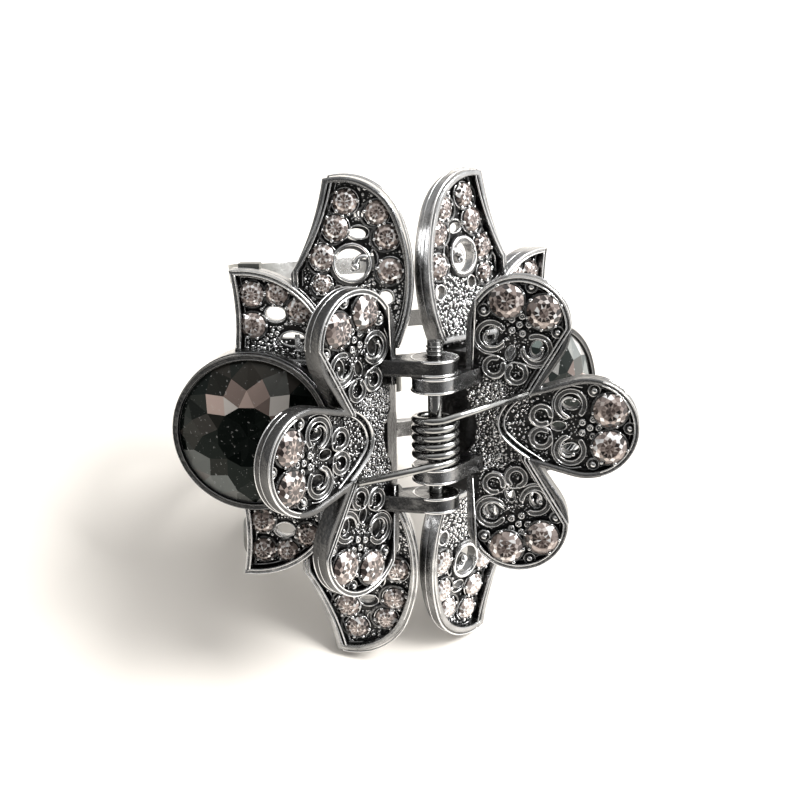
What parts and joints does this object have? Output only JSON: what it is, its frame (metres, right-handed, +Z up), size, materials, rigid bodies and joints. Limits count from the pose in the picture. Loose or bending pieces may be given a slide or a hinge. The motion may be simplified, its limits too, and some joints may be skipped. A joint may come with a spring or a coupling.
{
  "type": "metal claw hair clip",
  "caption": "Claw hair clip of cast metal: petal-shaped handles, pierced leaf jaws with round-cut stones, curved teeth and a coil-sprung hinge.",
  "frame": {"origin": "bottom centre of the bounding box, on the surface that the clip stands on", "axes": "+Z up, -Y toward the side where the handles open, +X toward the half with the inner lugs; the hinge axis is leaned back from +Z in the YZ plane"},
  "size_m": [0.0484, 0.0407, 0.0442],
  "materials": {
    "antique_silver": "plated casting, bright on rims and dark in the recesses",
    "steel_wire": "drawn wire, bright",
    "pale_stone": "foil-backed, faceted, pale smoky rose",
    "dark_crystal": "foil-backed, faceted, nearly black"
  },
  "bodies": {
    "left_half": {"crystal_left": "dark_crystal", "handle_left": "antique_silver", "jaw_left": "antique_silver", "lower_petal_left_stone_left": "pale_stone", "lower_petal_right_stone_left": "pale_stone", "lower_short_leaf_stones_left": "pale_stone", "lower_tall_leaf_stones_left": "pale_stone", "middle_petal_left_stone_left": "pale_stone", "middle_petal_right_stone_left": "pale_stone", "pin": "steel_wire", "spring": "steel_wire", "teeth_left": "antique_silver", "upper_petal_left_stone_left": "pale_stone", "upper_petal_right_stone_left": "pale_stone", "upper_short_leaf_stones_left": "pale_stone", "upper_tall_leaf_stones_left": "pale_stone"},
    "right_half": {"crystal_right": "dark_crystal", "handle_right": "antique_silver", "jaw_right": "antique_silver", "lower_petal_left_stone_right": "pale_stone", "lower_petal_right_stone_right": "pale_stone", "lower_short_leaf_stones_right": "pale_stone", "lower_tall_leaf_stones_right": "pale_stone", "middle_petal_left_stone_right": "pale_stone", "middle_petal_right_stone_right": "pale_stone", "teeth_right": "antique_silver", "upper_petal_left_stone_right": "pale_stone", "upper_petal_right_stone_right": "pale_stone", "upper_short_leaf_stones_right": "pale_stone", "upper_tall_leaf_stones_right": "pale_stone"}
  },
  "joints": [
    {"name": "jaw_hinge", "type": "hinge", "parent": "left_half", "child": "right_half", "pos_m": [0, -0.01024, 0.02649], "axis": [0, -0.5377, -0.8432], "range_deg": [0, 60], "stiffness_Nm_per_rad": 0.029, "springref_deg": -39.53, "deforming": ["spring"]}
  ]
}
